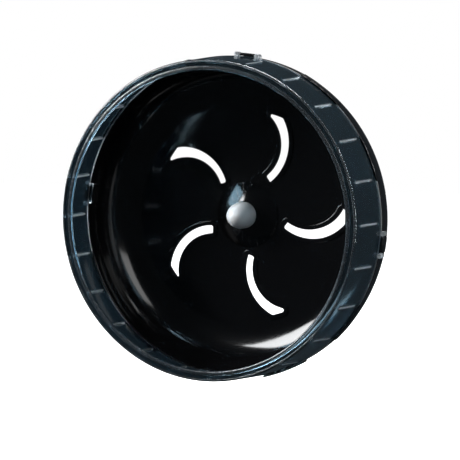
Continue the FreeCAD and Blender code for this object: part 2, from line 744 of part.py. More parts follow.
def makeAxle():
    axle = newBody("axle")
    shaft = "Sizes.bearingBore - Sizes.seatClearance"
    end = f"{hubFront} - Sizes.axleShort"
    turn(axle, [
        ("0", y(f"{end} - Sizes.tapDepth")),
        ("Sizes.tapRadius", y(f"{end} - Sizes.tapDepth")),
        ("Sizes.tapRadius", y(end)),
        (shaft, y(end)),
        (shaft, y(rearBearing)),
        ("Sizes.neckRadius", y(rearBearing)),
        ("Sizes.neckRadius", y("Sizes.shoulderWall")),
        ("Sizes.shoulderRadius", y("Sizes.shoulderWall")),
        ("Sizes.shoulderRadius", "0"),
        ("Sizes.stubRadius", "0"),
        ("Sizes.stubRadius", "Sizes.stubLength - Sizes.stubChamfer"),
        ("Sizes.stubRadius - Sizes.stubChamfer", "Sizes.stubLength"),
        ("0", "Sizes.stubLength"),
    ])
    return axle


def makeWasher():
    washer = newBody("end_washer")
    turn(washer, [
        ("Sizes.washerBore", y(hubFront)),
        ("Sizes.washerRadius", y(hubFront)),
        ("Sizes.washerRadius", y(f"{hubFront} + Sizes.washerWall")),
        ("Sizes.washerBore", y(f"{hubFront} + Sizes.washerWall")),
    ])
    return washer


def makeEndScrew():
    screw = newBody("end_screw")
    seat = f"{hubFront} + Sizes.washerWall"
    turn(screw, [
        ("0", y(f"{seat} - Sizes.boltLength")),
        ("Sizes.boltRadius", y(f"{seat} - Sizes.boltLength")),
        ("Sizes.boltRadius", y(seat)),
        ("Sizes.boltHead", y(seat)),
        ("Sizes.boltHead", y(f"{seat} + Sizes.boltHeadHeight")),
        ("0", y(f"{seat} + Sizes.boltHeadHeight")),
    ])
    sketch = forwardSketch(screw, f"{seat} + Sizes.boltHeadHeight - Sizes.hexDepth")
    outline(sketch, [(f"Sizes.hexRadius * cos({60 * i})", f"Sizes.hexRadius * sin({60 * i})")
                     for i in range(6)])
    extrude(screw, sketch, f"Sizes.hexDepth + {tiny}", "PartDesign::Pocket")
    return screw


def makeSpacer():
    spacer = newBody("bearing_spacer")
    bore = "Sizes.bearingBore + Sizes.seatClearance"
    turn(spacer, [
        (bore, y(frontBearing)),
        ("Sizes.spacerRadius", y(frontBearing)),
        ("Sizes.spacerRadius", y(f"{rearBearing} + Sizes.bearingWidth")),
        (bore, y(f"{rearBearing} + Sizes.bearingWidth")),
    ])
    return spacer


def makeBearing(end, rear):
    """Races, shields, balls and cage of one bearing, from its rear face forward."""
    front = f"({rear} + Sizes.bearingWidth)"
    middle = f"({rear} + Sizes.bearingWidth / 2)"
    inner = newBody(f"{end}_inner_race")
    turn(inner, [
        ("Sizes.bearingBore", y(front)),
        ("Sizes.innerShoulder", y(front)),
        ("Sizes.innerShoulder", y(rear)),
        ("Sizes.bearingBore", y(rear)),
    ])
    groove(inner, "Sizes.pitchRadius", y(middle), "Sizes.grooveRadius")
    outer = newBody(f"{end}_outer_race")
    turn(outer, [
        ("Sizes.shieldSeat", y(front)),
        ("Sizes.bearingOuter", y(front)),
        ("Sizes.bearingOuter", y(rear)),
        ("Sizes.shieldSeat", y(rear)),
        ("Sizes.shieldSeat", y(f"{rear} + Sizes.shieldRecess")),
        ("Sizes.outerShoulder", y(f"{rear} + Sizes.shieldRecess")),
        ("Sizes.outerShoulder", y(f"{front} - Sizes.shieldRecess")),
        ("Sizes.shieldSeat", y(f"{front} - Sizes.shieldRecess")),
    ])
    groove(outer, "Sizes.pitchRadius", y(middle), "Sizes.grooveRadius")
    shields = [
        makeShield(f"{end}_bearing_front_shield", f"{front} - Sizes.shieldRecess"),
        makeShield(f"{end}_bearing_rear_shield", f"{rear} + Sizes.shieldRecess - Sizes.shieldWall"),
    ]
    return [inner, outer, *shields, *makeBallsAndCage(end, middle)]


def makeShield(label, rear):
    shield = newBody(label)
    front = f"{rear} + Sizes.shieldWall"
    turn(shield, [
        ("Sizes.shieldInner", y(front)),
        ("Sizes.shieldSeat", y(front)),
        ("Sizes.shieldSeat", y(rear)),
        ("Sizes.shieldInner", y(rear)),
    ])
    return shield


def sphereRing(name, radius, middle):
    """Spheres on the pitch circle."""
    count = int(size("ballCount"))
    spheres = []
    for i in range(count):
        sphere = doc.addObject("Part::Sphere", f"{name}_{i + 1}")
        sphere.setExpression("Radius", radius)
        sphere.Placement = facing(360 * i / count)
        sphere.setExpression("Placement.Base.x", f"Sizes.pitchRadius * cos({360 * i / count})")
        sphere.setExpression("Placement.Base.y", y(middle))
        sphere.setExpression("Placement.Base.z", f"Sizes.pitchRadius * sin({360 * i / count})")
        spheres.append(sphere)
    return spheres


def makeBallsAndCage(end, middle):
    balls = compound(f"{end}_balls", sphereRing(f"{end}_ball", "Sizes.ballRadius", middle))
    height = "Sizes.cageFront + Sizes.cageBack"
    band = doc.addObject("Part::Cut", f"{end}_cage_band")
    band.Base = cylinder(f"{end}_cage_outside", "Sizes.cageOuter", height, facing())
    band.Tool = cylinder(f"{end}_cage_inside", "Sizes.cageInner", height, facing())
    for side in (band.Base, band.Tool):
        side.setExpression("Placement.Base.y", y(f"{middle} - Sizes.cageBack"))
    pockets = sphereRing(f"{end}_pocket", "Sizes.ballRadius + Sizes.pocketClearance", middle)
    cage = doc.addObject("Part::Cut", f"{end}_ball_cage")
    cage.Label = f"{end}_ball_cage"
    cage.Base = band
    cage.Tool = compound(f"{end}_pockets", pockets)
    return [balls, cage]


def checkAndExport(pieces):
    doc.recompute()
    for item in doc.Objects:
        if "Invalid" in item.State or "Error" in item.State:
            raise RuntimeError(f"{item.Label} is {item.State}")
    os.makedirs("parts", exist_ok=True)
    for piece in pieces:
        shape = piece.Shape
        if shape.isNull() or not shape.isValid() or not shape.Solids:
            raise RuntimeError(f"{piece.Label} has no valid solid")
        shape.exportStep(f"parts/{piece.Label}.step")
        print(f"{piece.Label}: {len(shape.Solids)} solid(s), {shape.Volume:.1f} mm3")


def main():
    pieces = [
        makeAxle(), makeSpacer(), makeWasher(), makeEndScrew(),
        makePan(), makeTrackRing(), makeCone(), makeCap(),
        makeBearingCover(), makeCoverScrews(),
        *makeBearing("front", frontBearing),
        *makeBearing("rear", rearBearing),
    ]
    checkAndExport(pieces)


main()
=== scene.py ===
import json
import math

import bmesh
import bpy
from mathutils import Matrix, Vector


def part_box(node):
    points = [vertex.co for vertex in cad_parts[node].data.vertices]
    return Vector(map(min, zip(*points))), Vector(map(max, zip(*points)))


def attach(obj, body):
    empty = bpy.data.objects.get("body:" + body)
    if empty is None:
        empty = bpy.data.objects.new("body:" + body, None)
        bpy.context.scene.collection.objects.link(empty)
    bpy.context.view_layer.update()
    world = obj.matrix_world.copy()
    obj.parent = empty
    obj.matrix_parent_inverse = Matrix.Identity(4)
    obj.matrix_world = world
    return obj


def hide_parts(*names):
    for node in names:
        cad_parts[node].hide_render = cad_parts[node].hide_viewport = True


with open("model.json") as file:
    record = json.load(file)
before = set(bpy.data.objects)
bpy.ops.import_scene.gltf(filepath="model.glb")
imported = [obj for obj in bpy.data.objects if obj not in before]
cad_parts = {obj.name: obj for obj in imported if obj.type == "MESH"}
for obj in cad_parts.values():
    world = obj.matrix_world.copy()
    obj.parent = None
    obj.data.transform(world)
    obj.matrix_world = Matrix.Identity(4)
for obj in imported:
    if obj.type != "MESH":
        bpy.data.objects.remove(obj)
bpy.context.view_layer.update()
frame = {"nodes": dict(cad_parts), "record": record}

mm = 0.001
forward = Vector((0, -1, 0))  # angles turn about this line, from right towards up
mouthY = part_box("track_ring")[0].y
slots = {part["node"]: part["material_slot"] for part in frame["record"]["subparts"]}
around = 288  # steps round the wheel
mergeDistance = 1e-6

# lengths forward of the mounting shoulder, radii and a wall that several pieces share, in millimetres
disc = 26.0
hubFront = 27.0
seam = 59.2
rimRadius = 103.6
ringWall = 1.6
spare = 0.5  # how far a joined or cutting shape runs past the surface it meets


# shapes

def turnBy(angle):
    return Matrix.Rotation(math.radians(angle), 4, forward)


# A closed wire through (radius, forward, rounding) corners.
def wireThrough(bm, corners, smoothness):
    verts = [bm.verts.new((radius * mm, -along * mm, 0)) for radius, along, _ in corners]
    for i, vert in enumerate(verts):
        bm.edges.new((vert, verts[(i + 1) % len(verts)]))
    for i, (radius, along, rounding) in enumerate(corners):
        if rounding:
            before, after = corners[i - 1], corners[(i + 1) % len(corners)]
            inward = Vector((radius - before[0], along - before[1]))
            outward = Vector((after[0] - radius, after[1] - along))
            bend = inward.angle(outward)
            segments = max(3, round(smoothness * bend * rounding ** 0.5))
            bmesh.ops.bevel(bm, geom=[verts[i]], affect="VERTICES", segments=segments, profile=0.5,
                            offset=rounding * mm * math.tan(bend / 2), material=-1)


def clean(bm):
    bmesh.ops.remove_doubles(bm, verts=bm.verts[:], dist=mergeDistance)
    bmesh.ops.recalc_face_normals(bm, faces=bm.faces[:])
    return bm


# Turns a closed wire about the axle, all the way or through a sweep centred on an angle.
def lathe(corners, smoothness=3, sweep=360, middle=0, steps=around):
    bm = bmesh.new()
    wireThrough(bm, corners, smoothness)
    whole = sweep == 360
    if not whole:
        bmesh.ops.rotate(bm, verts=bm.verts[:], matrix=turnBy(middle - sweep / 2))
    first = bm.edges[:]
    made = bmesh.ops.spin(bm, geom=bm.verts[:] + first, axis=forward, cent=(0, 0, 0),
                          angle=math.radians(sweep), steps=steps, use_merge=whole)
    if not whole:
        last = [item for item in made["geom_last"] if isinstance(item, bmesh.types.BMEdge)]
        bmesh.ops.contextual_create(bm, geom=first)
        bmesh.ops.contextual_create(bm, geom=last)
    return clean(bm)


# Rounds every edge that bends more than the limit.
def soften(bm, width, segments=3, limit=35):
    sharp = [edge for edge in bm.edges if edge.is_manifold and edge.calc_face_angle(0) > math.radians(limit)]
    bmesh.ops.bevel(bm, geom=sharp, affect="EDGES", offset=width * mm, segments=segments, profile=0.5,
                    material=-1, clamp_overlap=True)
    return clean(bm)


# Further copies of everything in the mesh, turned about the axle.
def copiesRound(bm, angles):
    whole = bm.verts[:] + bm.edges[:] + bm.faces[:]
    for angle in angles:
        made = bmesh.ops.duplicate(bm, geom=whole)["geom"]
        verts = [item for item in made if isinstance(item, bmesh.types.BMVert)]
        bmesh.ops.rotate(bm, verts=verts, matrix=turnBy(angle))
    return bm


def asObject(name, bm):
    mesh = bpy.data.meshes.new(name)
    bm.to_mesh(mesh)
    bm.free()
    thing = bpy.data.objects.new(name, mesh)
    bpy.context.scene.collection.objects.link(thing)
    return thing


# One mesh from a body, with the extras added to it and then the cutters cut from it.
def combine(bm, added, cut):
    body = asObject("body", bm)
    tools = [(asObject("added", extra), "UNION") for extra in added]
    tools += [(asObject("cut", extra), "DIFFERENCE") for extra in cut]
    for tool, operation in tools:
        modifier = body.modifiers.new(tool.name, "BOOLEAN")
        modifier.object = tool
        modifier.operation = operation
        modifier.solver = "MANIFOLD"
    graph = bpy.context.evaluated_depsgraph_get()
    mesh = bpy.data.meshes.new_from_object(body.evaluated_get(graph))
    for used in [body] + [tool for tool, _ in tools]:
        bpy.data.objects.remove(used)
    joined = bmesh.new()
    joined.from_mesh(mesh)
    bpy.data.meshes.remove(mesh)
    return clean(joined)


def makePiece(name, bm, node, sharp=30):
    piece = asObject(name, bm)
    piece.data.materials.append(finishes[slots[node]])
    piece.data.shade_smooth()
    piece.data.set_sharp_from_angle(angle=math.radians(sharp))
    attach(piece, "wheel")
    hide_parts(node)
    print(name, len(piece.data.polygons), "faces")


# pan

pan = {
    "wall": 2.8,
    "corner": 28.5,
    "discWall": 2.5,
    "tongue": 1.2,
    "clearance": 0.2,
    "bore": 11.02,
    "ledge": 9.8,
    "hub": 14.0,
    "rear": 7.0,  # rear end of the hub, forward of the shoulder
    "bearing": 7.0,
    "flange": 4.0,
    "flangeRadius": 19.5,
    "edge": 0.4,  # rounding of the edges in view
    "smallEdge": 0.3,  # rounding of the others
    "hubFillet": 1.0,
    "gussets": 5,
    "gussetAngle": 57.0,
    "gussetReach": 26.0,
    "gussetRise": 8.0,
    "gussetWall": 2.0,
    "gussetToe": 1.0,  # width at the hub's end and height at the disc's
    "screws": 3,
    "screwCircle": 15.6,
    "screwRadius": 1.25,
    "screwDepth": 4.62,
    "screwGap": 0.02,
}

slotShape = {
    "count": 5,
    "angle": 21.7,
    "centre": 47.8,
    "convex": 32.4,
    "concave": 25.8,
    "taper": 1.4,
    "start": 149.0,
    "outer": 68.4,
    "round": 1.3,
    "border": 3.0,
    "borderHeight": 0.9,
    "borderEdge": 0.45,
    "cutForward": 5.0,  # the cutter's length in front of the disc
}

clips = {
    "count": 4,
    "angle": 82.5,
    "sweep": 5.0,
    "height": 2.1,
    "forward": 1.8,
    "root": 1.5,
    "tongueReach": 4.0,
    "postForward": 2.0,
    "postRadius": 1.5,
    "postRise": 1.1,
    "postSpread": 3.8,
    "clearance": 0.3,
    "edge": 0.35,
    "postEdge": 0.4,
}

lugs = {
    "between": 2,
    "sweep": 16.5,
    "height": 1.1,
    "forward": 3.0,
    "rear": 6.0,
    "edge": 0.35,
}


# Where two circles in the disc's plane meet, on the side of negative height.
def circlesMeet(first, firstRadius, second, secondRadius):
    gap = (second - first).length
    along = (gap ** 2 + firstRadius ** 2 - secondRadius ** 2) / (2 * gap)
    offset = math.sqrt(firstRadius ** 2 - along ** 2)
    direction = (second - first).normalized()
    side = Vector((direction.y, -direction.x))
    middle = first + direction * along
    return min((middle + side * offset, middle - side * offset), key=lambda point: point.y)


def lineMeets(point, direction, centre, radius):
    toCentre = point - centre
    half = toCentre.dot(direction)
    return point + direction * (-half + math.sqrt(half ** 2 - toCentre.length_squared + radius ** 2))


def bearingOf(vector):
    return math.degrees(math.atan2(vector.y, vector.x))


# A block with the slot's outline grown by a margin, between two lengths forward.
def slotBlock(margin, near, far):
    s = slotShape
    axle, centre = Vector((0, 0)), Vector((s["centre"], 0))
    shifted = centre - Vector((s["taper"], 0))
    convex, concave, outer = s["convex"] - s["round"], s["concave"] + s["round"], s["outer"] - s["round"]
    start = math.radians(-s["start"])
    along = Vector((math.cos(start), math.sin(start)))
    across = Vector((-along.y, along.x))
    endLine = centre + across * s["round"]
    convexOuter = circlesMeet(axle, outer, centre, convex)
    concaveOuter = circlesMeet(axle, outer, shifted, concave)
    concaveInner = lineMeets(endLine, along, shifted, concave)
    convexInner = lineMeets(endLine, along, centre, convex)

    outward = [bearingOf(convexInner - centre), bearingOf(convexOuter - centre), bearingOf(convexOuter),
               bearingOf(concaveOuter), bearingOf(shifted - concaveOuter), bearingOf(shifted - concaveInner),
               bearingOf(-across)]
    arcs = [  # centre, first and last direction, steps
        (centre, outward[0], outward[1], 28),
        (convexOuter, outward[1], outward[2], 6),
        (axle, outward[2], outward[3], 4),
        (concaveOuter, outward[3], outward[4], 10),
        (shifted, bearingOf(concaveOuter - shifted), bearingOf(concaveInner - shifted), -28),
        (concaveInner, outward[5], outward[6], 8),
        (convexInner, outward[6], outward[0], 8),
    ]
    bm = bmesh.new()
    tip = convexInner + (convexInner - centre).normalized() * (s["round"] + margin)
    vert = first = bm.verts.new((tip.x * mm, -near * mm, tip.y * mm))
    for middle, begin, end, steps in arcs:
        turn = (end - begin) % 360 if steps > 0 else -((begin - end) % 360)
        if middle is convexInner:  # the straight end between the inner corners
            move = (convexInner - concaveInner) * mm
            made = bmesh.ops.extrude_vert_indiv(bm, verts=[vert])
            vert = made["verts"][0]
            bmesh.ops.translate(bm, verts=[vert], vec=(move.x, 0, move.y))
        made = bmesh.ops.spin(bm, geom=[vert], axis=forward, cent=(middle.x * mm, 0, middle.y * mm),
                              angle=math.radians(turn), steps=abs(steps))
        vert = next(item for item in made["geom_last"] if isinstance(item, bmesh.types.BMVert))
    bmesh.ops.remove_doubles(bm, verts=bm.verts[:], dist=1e-5)
    face = bmesh.ops.contextual_create(bm, geom=bm.edges[:])["faces"]
    made = bmesh.ops.extrude_face_region(bm, geom=face, use_keep_orig=True)
    verts = [item for item in made["geom"] if isinstance(item, bmesh.types.BMVert)]
    bmesh.ops.translate(bm, verts=verts, vec=forward * (far - near) * mm)
    bmesh.ops.rotate(bm, verts=bm.verts[:], matrix=turnBy(s["angle"]))
    return clean(bm)


def roundTop(bm, level, width, segments=3):
    top = [edge for edge in bm.edges if all(abs(vert.co.y + level * mm) < 1e-6 for vert in edge.verts)]
    bmesh.ops.bevel(bm, geom=top, affect="EDGES", offset=width * mm, segments=segments, profile=0.5,
                    material=-1, clamp_overlap=True)
    return bm


def everySlot():
    return [360 / slotShape["count"] * i for i in range(1, slotShape["count"])]


def everyClip():
    return [360 / clips["count"] * i for i in range(1, clips["count"])]


def panBody():
    p = pan
    wall, tongue = rimRadius - p["wall"], rimRadius - ringWall - p["clearance"]
    tongueFront = seam + p["tongue"]
    rear, flangeFront = disc - p["discWall"], p["rear"] + p["flange"]
    ledge, seat = p["rear"] + p["bearing"], hubFront - p["bearing"]
    small = p["smallEdge"]
    return lathe([
        (p["bore"], hubFront, 0), (p["hub"], hubFront, small), (p["hub"], disc, small),
        (wall, disc, p["corner"] - p["wall"]), (wall, tongueFront, small),
        (tongue, tongueFront, small), (tongue, seam, 0), (rimRadius, seam, p["edge"]),
        (rimRadius, rear, p["corner"]), (p["hub"], rear, p["hubFillet"]), (p["hub"], flangeFront, 0),
        (p["flangeRadius"], flangeFront, p["edge"]), (p["flangeRadius"], p["rear"], p["edge"]),
        (p["bore"], p["rear"], 0), (p["bore"], ledge, 0), (p["ledge"], ledge, 0), (p["ledge"], seat, 0),
        (p["bore"], seat, 0),
    ], smoothness=4)


def panLugs():
    under, top, root = rimRadius + pan["clearance"], rimRadius + lugs["height"], rimRadius - spare
    front, back = seam + lugs["forward"], seam - lugs["rear"]
    quarter = 360 / clips["count"]
    pitch = quarter / (lugs["between"] + 1)
    block = lathe([
        (under, front, 0), (top, front, 0), (top, back + lugs["height"], 0), (root, back, 0),
        (root, seam, 0), (under, seam, 0),
    ], sweep=lugs["sweep"], middle=clips["angle"] + pitch, steps=24)
    block = soften(block, lugs["edge"])
    angles = [pitch * i + quarter * k for k in range(clips["count"]) for i in range(lugs["between"])]
    return copiesRound(block, angles[1:])


def clipTabs():
    under, top, root = rimRadius + pan["clearance"], rimRadius + clips["height"], rimRadius - spare
    front, back = seam + clips["forward"], seam - clips["tongueReach"] - clips["clearance"]
    block = lathe([
        (under, front, 0), (top, front, 0), (top, back - clips["root"], 0),
        (root, back - clips["root"] - clips["height"], 0), (root, back, 0), (under, back, 0),
    ], sweep=clips["sweep"], middle=clips["angle"], steps=10)
    return copiesRound(soften(block, clips["edge"]), everyClip())


def tongueRoom():
    inner, outer = rimRadius - pan["wall"] - spare, rimRadius + pan["clearance"]
    front = seam + pan["tongue"] + spare
    back = seam - clips["tongueReach"] - clips["clearance"]
    block = lathe([(inner, front, 0), (outer, front, 0), (outer, back, 0), (inner, back, 0)],
                  sweep=2 * clips["postSpread"], middle=clips["angle"], steps=12)
    return copiesRound(block, everyClip())


# Adds a bar that lies along the axle at a distance from it.
def addBar(bm, radius, rear, front, distance, angle=0):
    place = Matrix.Translation((distance * mm, -(rear + front) / 2 * mm, 0))
    matrix = turnBy(angle) @ place @ Matrix.Rotation(math.pi / 2, 4, "X")
    bmesh.ops.create_cone(bm, cap_ends=True, segments=32, radius1=radius * mm, radius2=radius * mm,
                          depth=(front - rear) * mm, matrix=matrix)


# Round bars beside each clip.
def postBars(radius, rear, front, edge):
    bm = bmesh.new()
    for side in (-1, 1):
        addBar(bm, radius, rear, front, rimRadius + clips["postRise"],
               clips["angle"] + side * clips["postSpread"])
    if edge:
        bm = soften(bm, edge, segments=4)
    return copiesRound(clean(bm), everyClip())


def postRoom():
    back = seam - clips["tongueReach"] - clips["clearance"]
    return postBars(clips["postRadius"] + clips["clearance"], back, seam + lugs["forward"] + spare, 0)


def gussets():
    bm = bmesh.new()
    rear = disc - pan["discWall"]
    low, root, reach, toe = rear - pan["gussetRise"], pan["hub"] - spare, pan["gussetReach"], pan["gussetToe"]
    corners = [(root, rear + spare), (reach, rear + spare), (reach, rear - toe), (pan["hub"] + toe, low),
               (root, low)]
    half = pan["gussetWall"] / 2
    verts = [bm.verts.new((radius * mm, -along * mm, -half * mm)) for radius, along in corners]
    face = bm.faces.new(verts)
    made = bmesh.ops.extrude_face_region(bm, geom=[face], use_keep_orig=True)
    moved = [item for item in made["geom"] if isinstance(item, bmesh.types.BMVert)]
    bmesh.ops.translate(bm, verts=moved, vec=(0, 0, pan["gussetWall"] * mm))
    bm = soften(clean(bm), pan["smallEdge"])
    bmesh.ops.rotate(bm, verts=bm.verts[:], matrix=turnBy(pan["gussetAngle"]))
    return copiesRound(bm, [360 / pan["gussets"] * i for i in range(1, pan["gussets"])])


def screwHoles():
    bm = bmesh.new()
    addBar(bm, pan["screwRadius"] + pan["screwGap"], pan["rear"] - 2 * spare, pan["rear"] + pan["screwDepth"],
           pan["screwCircle"])
    return copiesRound(clean(bm), [360 / pan["screws"] * i for i in range(1, pan["screws"])])


def panWithSlots():
    top = disc + slotShape["borderHeight"]
    borders = roundTop(slotBlock(slotShape["border"], disc - spare, top), top, slotShape["borderEdge"])
    borders = copiesRound(borders, everySlot())
    holes = slotBlock(0, disc - 2 * pan["discWall"], disc + slotShape["cutForward"])
    holes = copiesRound(holes, everySlot())
    return combine(panBody(), [borders, panLugs(), clipTabs(), gussets()],
                   [holes, tongueRoom(), postRoom(), screwHoles()])


# track ring

ring = {
    "front": 97.2,
    "frontRadius": 100.0,
    "lipInner": 93.4,
    "bead": 2.8,
    "round": 1.1,
    "step": 0.8,
    "ridge": 1.5,
    "treads": 24,
    "treadAngle": 90.0,
    "treadWidth": 1.5,
    "treadFront": 7.2,
    "treadRear": 6.6,
    "treadHeight": 1.1,
    "groove": 0.5,
    "blend": 0.55,  # width of the slope round a tread
    "rows": 44,  # along the track
    "rowsFront": 2.5,  # where they begin, behind the front
    "rowsRear": 0.3,  # where they end, in front of the seam
    "steps": 24,  # per tread
    "gather": 2,  # how strongly the steps draw together at a tread
    "lipRoom": 2.0,  # nothing is pressed nearer the front than this
    "webEdge": 0.25,
    "ridgeEdge": 0.35,
    "rearEdge": 0.2,
    "innerCorner": 0.6,
    "beadFoot": 0.3,
    "beadBack": 0.5,
    "edgeBand": 0.45,  # depth of the front edges that get a painted highlight
    "paintedEdgeHighlight": 0.45,  # how light the painted highlight on the front edges is, beside the treads
    "lineBand": 1.5,  # width of the painted highlight line along the rear edge
    # how light the painted highlight is along the rear edge and on the tongues and posts
    "paintedLineHighlight": 0.8,
    "tongueDrop": 0.05,  # how far a tongue lies below the ring's outside
    "tongueRoot": 0.8,
    "tongueRim": 0.7,
}


def ringProfile():
    r = ring
    front, web, back = r["front"], r["front"] - r["step"], r["front"] - r["bead"]
    lip, bead, ridge = r["lipInner"], r["lipInner"] + r["bead"], r["frontRadius"] - r["ridge"]
    slope = (rimRadius - r["frontRadius"]) / (front - seam)
    first, length = front - r["rowsFront"], front - r["rowsFront"] - seam - r["rowsRear"]
    rows = [first - length * i / r["rows"] for i in range(r["rows"] + 1)]
    outside = [(rimRadius - slope * (along - seam), along) for along in rows]
    corners = [
        (lip, front, r["round"]), (bead, front, r["round"]), (bead, web, r["webEdge"]),
        (ridge, web, r["webEdge"]), (ridge, front, r["ridgeEdge"]), (r["frontRadius"], front, r["round"]),
    ]
    corners += [(radius, along, 0) for radius, along in outside]
    corners += [(rimRadius, seam, r["rearEdge"]), (rimRadius - ringWall, seam, r["rearEdge"])]
    corners += [(radius - ringWall, along, 0) for radius, along in reversed(outside)]
    corners += [
        (r["frontRadius"] - ringWall, web - ringWall, r["innerCorner"]),
        (bead, web - ringWall, r["beadFoot"]), (bead, back, r["beadBack"]), (lip, back, r["round"]),
    ]
    return corners


# Draws the columns of vertices towards the treads, then presses the treads into the wall.
def pressTreads(bm):
    r = ring
    frostAndHighlightLayer = bm.verts.layers.float.new("frostAndPaintedHighlight")
    pitch = 360 / r["treads"]
    front = r["front"] - r["treadFront"]
    rear = seam + r["treadRear"]
    half = r["treadWidth"] / 2
    for vert in bm.verts:
        radius = math.hypot(vert.co.x, vert.co.z) / mm
        along = -vert.co.y / mm
        angle = math.degrees(math.atan2(vert.co.z, vert.co.x)) - r["treadAngle"]
        nearest = round(angle / pitch) * pitch
        apart = (angle - nearest) / (pitch / 2)
        apart = math.copysign(abs(apart) ** r["gather"], apart) * pitch / 2
        beyond = max(0, along - front + half, rear + half - along)
        distance = math.hypot(math.radians(apart) * radius, beyond) - half
        level = min(1, max(0, 0.5 - distance / r["blend"]))
        level = level * level * (3 - 2 * level)
        if seam < along < r["front"] - r["lipRoom"]:
            share = (along - seam) / (r["front"] - seam)
            outer = radius > rimRadius - ringWall / 2 - (rimRadius - r["frontRadius"]) * share
            radius -= level * (r["groove"] if outer else r["treadHeight"])
        # Near the treads the value is the treads' frosting; the front edges and a band along the rear edge
        # get a painted highlight instead.
        if along > r["front"] - r["edgeBand"]:
            level = r["paintedEdgeHighlight"]
        if along < seam + r["lineBand"]:
            level = r["paintedLineHighlight"]
        vert[frostAndHighlightLayer] = level
        turned = math.radians(nearest + apart + r["treadAngle"])
        vert.co.x, vert.co.z = radius * mm * math.cos(turned), radius * mm * math.sin(turned)
    return bm


def ringTongues():
    inner, outer = rimRadius - ringWall, rimRadius - ring["tongueDrop"]
    front, back = seam + ring["tongueRoot"], seam - clips["tongueReach"]
    rim = back + ring["tongueRim"]
    nearby = 0.1  # millimetres and degrees
    block = lathe([
        (inner, front, 0), (outer, front, 0), (outer, rim, 0), (outer, back, 0), (inner, back, 0),
        (inner, rim, 0),
    ], sweep=2 * clips["postSpread"], middle=clips["angle"], steps=14)
    # The back and sides of each tongue are lightened as a painted highlight.
    frostAndHighlightLayer = block.verts.layers.float.new("frostAndPaintedHighlight")
    for vert in block.verts:
        angle = math.degrees(math.atan2(vert.co.z, vert.co.x)) - clips["angle"]
        atBack = -vert.co.y < (back + nearby) * mm
        if atBack or abs(angle) > clips["postSpread"] - nearby:
            vert[frostAndHighlightLayer] = ring["paintedLineHighlight"]
    return copiesRound(block, everyClip())


def ringWithPosts():
    body = pressTreads(lathe(ringProfile(), smoothness=4, steps=ring["treads"] * ring["steps"]))
    posts = postBars(clips["postRadius"], seam - clips["tongueReach"], seam + clips["postForward"],
                     clips["postEdge"])
    # The posts are lightened all over as a painted highlight.
    frostAndHighlightLayer = posts.verts.layers.float.new("frostAndPaintedHighlight")
    for vert in posts.verts:
        vert[frostAndHighlightLayer] = ring["paintedLineHighlight"]
    return combine(body, [ringTongues(), posts], [])


# hub cone and cap

hub = {
    "coneRadius": 21.7,
    "coneRise": 6.2,
    "coneEdge": 0.6,
    "coneWall": 1.6,
    "coneTop": 9.3,
    "coneFoot": 1.4,
    "coneStep": 0.6,  # slope above the foot
    "footGap": 0.04,
    "holeEdge": 0.2,
    "topEdge": 0.5,
    "rimEdge": 0.35,
    "capRadius": 8.7,
    "capSide": 4.0,
    "capDome": 14.5,
    "capShank": 6.4,
    "capWall": 1.2,
    "capPlug": 2.4,
    "plugGap": 0.1,
    "plugEdge": 0.3,
    "domeRows": 28,
}


def coneBody():
    h = hub
    front, hole, rim = disc + h["coneRise"], h["capShank"] + h["plugGap"], h["coneRadius"]
    under = front - h["coneWall"]
    foot = pan["bore"] - h["footGap"]
    inside = foot - h["coneFoot"]
    return lathe([
        (hole, front, h["holeEdge"]), (h["coneTop"], front, h["topEdge"]),
        (rim, disc + h["coneEdge"], h["rimEdge"]), (rim, disc, 0), (rim - h["coneWall"], disc, 0),
        (foot, under - h["coneStep"], 0), (foot, hubFront, 0), (inside, hubFront, 0), (inside, under, 0),
        (hole, under, 0),
    ], steps=192)


def capBody():
    h = hub
    front = disc + h["coneRise"]
    side, plug = front + h["capSide"], front - h["capPlug"]
    shank, roof = h["capShank"], side - h["capWall"]
    inner = shank - h["capWall"]
    angles = [math.radians(90 * i / h["domeRows"]) for i in range(h["domeRows"])]
    dome = [(h["capRadius"] * math.cos(angle), side + h["capDome"] * math.sin(angle), 0) for angle in angles]
    return lathe([
        (0, side + h["capDome"], 0), (0, roof, 0), (inner, roof, 0), (inner, plug, 0),
        (shank, plug, h["plugEdge"]), (shank, front, 0), (h["capRadius"], front, h["rimEdge"]), *dome,
    ], steps=128)


# finishes

# A shader node group with its sockets, and its input and output nodes.
def newGroup(name, inputs, outputs):
    group = bpy.data.node_groups.new(name, "ShaderNodeTree")
    for label, kind, value in inputs:
        socket = group.interface.new_socket(label, in_out="INPUT", socket_type=kind)
        if value is not None:
            socket.default_value = value
    for label, kind in outputs:
        group.interface.new_socket(label, in_out="OUTPUT", socket_type=kind)
    return group, group.nodes.new("NodeGroupInput"), group.nodes.new("NodeGroupOutput")


def mathNode(tree, operation, first, second=None, third=None):
    node = tree.nodes.new("ShaderNodeMath")
    node.operation = operation
    for socket, value in zip(node.inputs, (first, second, third)):
        if value is None:
            continue
        if isinstance(value, (int, float)):
            socket.default_value = value
        else:
            tree.links.new(value, socket)
    return node.outputs["Value"]


def noiseNode(tree, vector, scale, detail=2.0):
    node = tree.nodes.new("ShaderNodeTexNoise")
    node.inputs["Detail"].default_value = detail
    tree.links.new(vector, node.inputs["Vector"])
    if isinstance(scale, (int, float)):
        node.inputs["Scale"].default_value = scale
    else:
        tree.links.new(scale, node.inputs["Scale"])
    return node.outputs["Fac"]


def bumpNode(tree, height, strength, distance):
    node = tree.nodes.new("ShaderNodeBump")
    tree.links.new(height, node.inputs["Height"])
    for label, value in (("Strength", strength), ("Distance", distance)):
        if isinstance(value, (int, float)):
            node.inputs[label].default_value = value
        else:
            tree.links.new(value, node.inputs[label])
    return node.outputs["Normal"]


moulding = {
    "patchScale": 38,
    "speckScale": 2600,
    "speckLimit": 0.70,
    "speckRoughness": 0.3,
    "waveScale": 90,
    "grainScale": 1500,
    "grainShare": 0.05,  # height of the grain beside the waves
    "strength": 0.6,
    "height": 0.0003,
}


